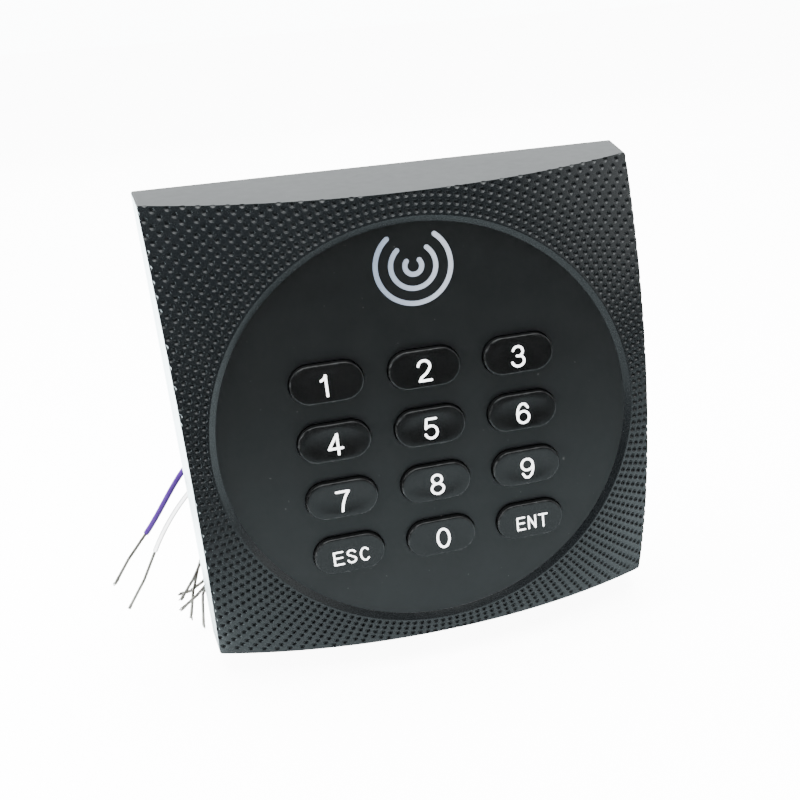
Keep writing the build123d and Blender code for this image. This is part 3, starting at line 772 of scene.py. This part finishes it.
# ---- finishes of the CAD parts that keep their shape --------------------------------------------------------------
finishes = {
    "light_guide_plastic": plastic("light_guide_frosted", (0.17, 0.215, 0.29), (0.33, 0.36, 0.42),
                                   rough=(0.35, 0.5), grain=0.000003, fade=(-0.008, 0.006)),
    "silicone": plastic("silicone_rubber", (0.045, 0.045, 0.048), (0.06, 0.06, 0.063), rough=(0.6, 0.75),
                        grain=0.00001, grain_scale=3000.0, dust=0.6),
    "carbon_rubber": plastic("carbon_rubber", (0.01, 0.01, 0.01), (0.016, 0.016, 0.016), rough=(0.7, 0.85),
                             grain=0.00001),
    "board_laminate": plastic("solder_mask", (0.012, 0.11, 0.045), (0.02, 0.15, 0.06), rough=(0.25, 0.4),
                              grain=0.000008, grain_scale=1500.0, edge_wear_and_highlight=(0.35, 0.3, 0.16)),
    "gold_plate": plastic("gold_plate", (0.75, 0.52, 0.2), (0.8, 0.6, 0.28), rough=(0.2, 0.35),
                          metallic=1.0, grain=0.000003),
    "lamp_resin": plastic("lamp_resin", (0.8, 0.78, 0.66), (0.86, 0.85, 0.75), rough=(0.15, 0.3), grain=0.000002),
    "coil_copper": plastic("enamelled_copper", (0.55, 0.2, 0.06), (0.7, 0.3, 0.1), rough=(0.25, 0.4),
                           metallic=0.9, grain=0.00002, grain_scale=1500.0, stretch=(1, 3, 1)),
    "chip_resin": plastic("chip_resin", (0.02, 0.02, 0.022), (0.03, 0.03, 0.032), rough=(0.5, 0.65),
                          grain=0.00001, grain_scale=5000.0, edge_wear_and_highlight=(0.09, 0.09, 0.09)),
    "tinned_metal": strand_metal,
    "can_metal": plastic("drawn_can", (0.6, 0.6, 0.62), (0.7, 0.7, 0.72), rough=(0.2, 0.38), metallic=1.0,
                         grain=0.000006, stretch=(1, 8, 1)),
    "buzzer_plastic": plastic("buzzer_plastic", (0.015, 0.015, 0.016), (0.022, 0.022, 0.023), rough=(0.3, 0.45),
                              grain=0.000005, edge_wear_and_highlight=(0.07, 0.07, 0.07)),
    "chip_ceramic": plastic("chip_ceramic", (0.25, 0.17, 0.11), (0.36, 0.27, 0.2), rough=(0.5, 0.7),
                            grain=0.00001, patch_scale=300.0),
    "nylon": plastic("nylon", (0.68, 0.65, 0.56), (0.76, 0.73, 0.65), rough=(0.4, 0.55), grain=0.000006,
                     edge_wear_and_highlight=(0.85, 0.83, 0.78)),
    "jacket_vinyl": plastic("jacket_vinyl", (0.22, 0.23, 0.24), (0.28, 0.29, 0.3), rough=(0.4, 0.55),
                            grain=0.00001, grain_scale=2500.0),
    "back_plastic": plastic("back_plastic", (0.02, 0.022, 0.024), (0.028, 0.03, 0.032), rough=(0.45, 0.6),
                            grain=0.00002, grain_scale=2500.0, edge_wear_and_highlight=(0.07, 0.07, 0.072), dust=0.5),
    "plate_steel": plastic("zinc_plate", (0.42, 0.43, 0.45), (0.56, 0.57, 0.58), rough=(0.3, 0.48),
                           metallic=1.0, grain=0.000008, grain_scale=1200.0, patch_scale=40.0,
                           edge_wear_and_highlight=(0.75, 0.75, 0.76), stretch=(0.3, 1, 3)),
    "screw_steel": plastic("zinc_screw", (0.42, 0.42, 0.44), (0.55, 0.55, 0.56), rough=(0.25, 0.42),
                           metallic=1.0, grain=0.000006, patch_scale=300.0, edge_wear_and_highlight=(0.75, 0.75, 0.76)),
}
insulation = {"violet": (0.055, 0.013, 0.17), "white": (0.80, 0.81, 0.83), "red": (0.42, 0.015, 0.015),
              "green": (0.02, 0.2, 0.05), "blue": (0.015, 0.07, 0.36), "yellow": (0.66, 0.42, 0.02),
              "black": (0.012, 0.012, 0.013)}
for colour, tone in insulation.items():
    darker = tuple(0.8 * value for value in tone)
    finishes["insulation_" + colour] = plastic("vinyl_" + colour, tone, darker, rough=(0.25, 0.4),
                                               grain=0.000006, grain_scale=1500.0, patch_scale=200.0)

# painted glow: the pale wire gives off light in its middle, fading out towards its outline
pale = finishes["insulation_white"]
facing = pale.add("ShaderNodeLayerWeight").outputs["Facing"]
pale.bsdf.inputs["Emission Color"].default_value = (1, 1, 1, 1)
pale.link(pale.remap(facing, 0.0, 0.4, 5.0, 0.0), pale.bsdf.inputs["Emission Strength"])

replaced = {"front_cover", "bare_wire_ends"} | {"key_" + key_name for key_name in KEYS}
VIOLET_SWELL = 0.00012
thicker = nodes["wire_violet"].modifiers.new("soft_vinyl", "DISPLACE")
thicker.strength = VIOLET_SWELL
thicker.mid_level = 0.0
for part in frame["record"]["subparts"]:
    if part["node"] not in replaced:
        for place in nodes[part["node"]].material_slots:
            place.material = finishes[part["material_slot"]].mat

# ---- floor, surroundings and lights ---------------------------------------------------------------------------------
FLOOR_WHITE = 10.0
SKY_WHITE = 12.5
FLOOR_REACH = 4.0
FLOOR_GAP = 0.0003
floor_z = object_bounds()[0].z - FLOOR_GAP
floor_corners = [(x * FLOOR_REACH, y * FLOOR_REACH, floor_z) for x, y in ((-1, -1), (1, -1), (1, 1), (-1, 1))]
floor_mesh = bpy.data.meshes.new("floor")
floor_mesh.from_pydata(floor_corners, [], [(0, 1, 2, 3)])
floor = bpy.data.objects.new("floor", floor_mesh)
scene.collection.objects.link(floor)
paper = Shader("floor_paper")
floor_mesh.materials.append(paper.mat)
paper.bsdf.inputs["Base Color"].default_value = (0.85, 0.85, 0.85, 1)
paper.bsdf.inputs["Roughness"].default_value = 0.9
position = paper.split(paper.coords)
rays = paper.add("ShaderNodeLightPath")
ray = paper.split(paper.add("ShaderNodeNewGeometry").outputs["Incoming"])
# The floor is evenly pale to the camera. In reflections it is lit in parts: a panel in front of the reader,
# shaded by place and by the direction of the ray, and a bright one behind its left side.
in_front = paper.remap(position["Y"], -0.20, -0.15, 0.02, 1.25)
for value, low, high, out_low, out_high in (
    (position["X"], 0.08, 0.2, 1.0, 0.45),
    (position["X"], -0.11, -0.07, 0.12, 1.0),
    (position["Y"], -0.012, -0.006, 1.0, 0.02),
    (ray["Y"], -0.25, -0.12, 0.02, 1.0),
    (ray["X"], -0.8, -0.6, 1.7, 1.0),
):
    in_front = paper.math("MULTIPLY", in_front, paper.remap(value, low, high, out_low, out_high))
behind = paper.remap(position["Y"], -0.02, 0.05, 0.0, 22.0)
behind = paper.math("MULTIPLY", behind, paper.remap(position["X"], -0.064, -0.060, 1.0, 0.0))
seen_in_gloss = paper.math("ADD", in_front, behind)
seen_plain = paper.math("MULTIPLY", rays.outputs["Is Camera Ray"], FLOOR_WHITE)
seen_in_gloss = paper.math("MULTIPLY", rays.outputs["Is Glossy Ray"], seen_in_gloss)
glow = paper.add("ShaderNodeEmission")
paper.link(paper.math("ADD", seen_plain, seen_in_gloss), glow.inputs["Strength"])
tint = paper.mix(rays.outputs["Is Glossy Ray"], (1.0, 1.0, 1.0), (0.84, 1.0, 1.04))
paper.link(tint, glow.inputs["Color"])
total = paper.add("ShaderNodeAddShader")
paper.link(paper.bsdf.outputs["BSDF"], total.inputs[0])
paper.link(glow.outputs["Emission"], total.inputs[1])
gloss_only = paper.add("ShaderNodeMixShader")
paper.link(rays.outputs["Is Glossy Ray"], gloss_only.inputs["Fac"])
paper.link(total.outputs["Shader"], gloss_only.inputs[1])
paper.link(glow.outputs["Emission"], gloss_only.inputs[2])
paper.link(gloss_only.outputs["Shader"], paper.tree.nodes["Material Output"].inputs["Surface"])

world = bpy.data.worlds.new("studio")
scene.world = world
world.use_nodes = True
sky = Nodes(world.node_tree, "Generated")
direction = sky.split(sky.coords)
sky_back = sky.remap(direction["Y"], -0.25, 0.45, 0.03, 1.8)
sky_side = sky.remap(direction["X"], 0.5, 0.8, 0.0, 1.0)
sky_up = sky.remap(direction["Z"], 0.73, 0.86, 0.0, 3.5)
sky_light = sky.math("ADD", sky.math("ADD", sky_back, sky_side), sky_up)
sky_seen = sky.add("ShaderNodeMix")
sky.link(sky.add("ShaderNodeLightPath").outputs["Is Camera Ray"], sky_seen.inputs["Factor"])
sky.link(sky_light, sky_seen.inputs["A"])
sky_seen.inputs["B"].default_value = SKY_WHITE
background = sky.tree.nodes["Background"]
sky.link(sky_seen.outputs["Result"], background.inputs["Strength"])
background.inputs["Color"].default_value = (0.96, 1.0, 1.0, 1)


def soft_light(name, place, target, size, power):
    """A rectangular lamp at a place, turned to a target; it leaves no mirror image."""
    light = bpy.data.lights.new(name, "AREA")
    light.shape = "RECTANGLE"
    light.size, light.size_y = size
    light.energy = power
    holder = bpy.data.objects.new(name, light)
    holder.location = Vector(place)
    holder.rotation_euler = (Vector(target) - Vector(place)).to_track_quat("-Z", "Y").to_euler()
    holder.visible_glossy = False
    scene.collection.objects.link(holder)
    return holder


lamps = [
    soft_light("ceiling_light", (0.05, -0.12, 0.75), (0, 0, 0), (0.7, 0.5), 22.0),
    soft_light("back_light", (-0.1, 0.9, 0.5), (0, 0, 0), (1.2, 0.8), 10.0),
    soft_light("side_light", (-0.55, -0.08, 0.12), (-0.07, 0.01, -0.03), (0.3, 0.3), 9.0),
]

# ---- camera at the photo's angle --------------------------------------------------------------------------------------
CAMERA_PLACE = Vector((-47.386, -295.727, 104.423)) * MM
FORWARD = Vector((0.25054, 0.89485, -0.36941)).normalized()
LENS = 52.984
SENSOR_WIDTH = 36.0
LENS_SHIFTS = {"shift_x": -0.1722, "shift_y": 0.0394}
SHIFT_REACH = 0.012    # metres from the camera's place at which the lens shift has faded out
camera_data = bpy.data.cameras.new("photo_camera")
camera = bpy.data.objects.new("photo_camera", camera_data)
scene.collection.objects.link(camera)
right = FORWARD.cross(Vector((0.16314, 0.33710, 0.92723))).normalized()
up = right.cross(FORWARD)
camera.matrix_world = Matrix((
    (right.x, up.x, -FORWARD.x, CAMERA_PLACE.x),
    (right.y, up.y, -FORWARD.y, CAMERA_PLACE.y),
    (right.z, up.z, -FORWARD.z, CAMERA_PLACE.z),
    (0, 0, 0, 1),
))
camera_data.sensor_width = SENSOR_WIDTH
camera_data.lens = LENS
camera_data.clip_start = 0.001
# The lens is shifted sideways at this place only, so that the object stays centred from anywhere else.
for path, shift in LENS_SHIFTS.items():
    curve = camera_data.driver_add(path)
    for modifier in list(curve.modifiers):
        curve.modifiers.remove(modifier)
    curve.driver.type = "SUM"
    source = curve.driver.variables.new()
    source.type = "TRANSFORMS"
    source.targets[0].id = camera
    source.targets[0].transform_type = "LOC_X"
    for offset, value in ((-SHIFT_REACH, 0.0), (0.0, shift), (SHIFT_REACH, 0.0)):
        curve.keyframe_points.insert(CAMERA_PLACE.x + offset, value).interpolation = "LINEAR"
scene.camera = camera
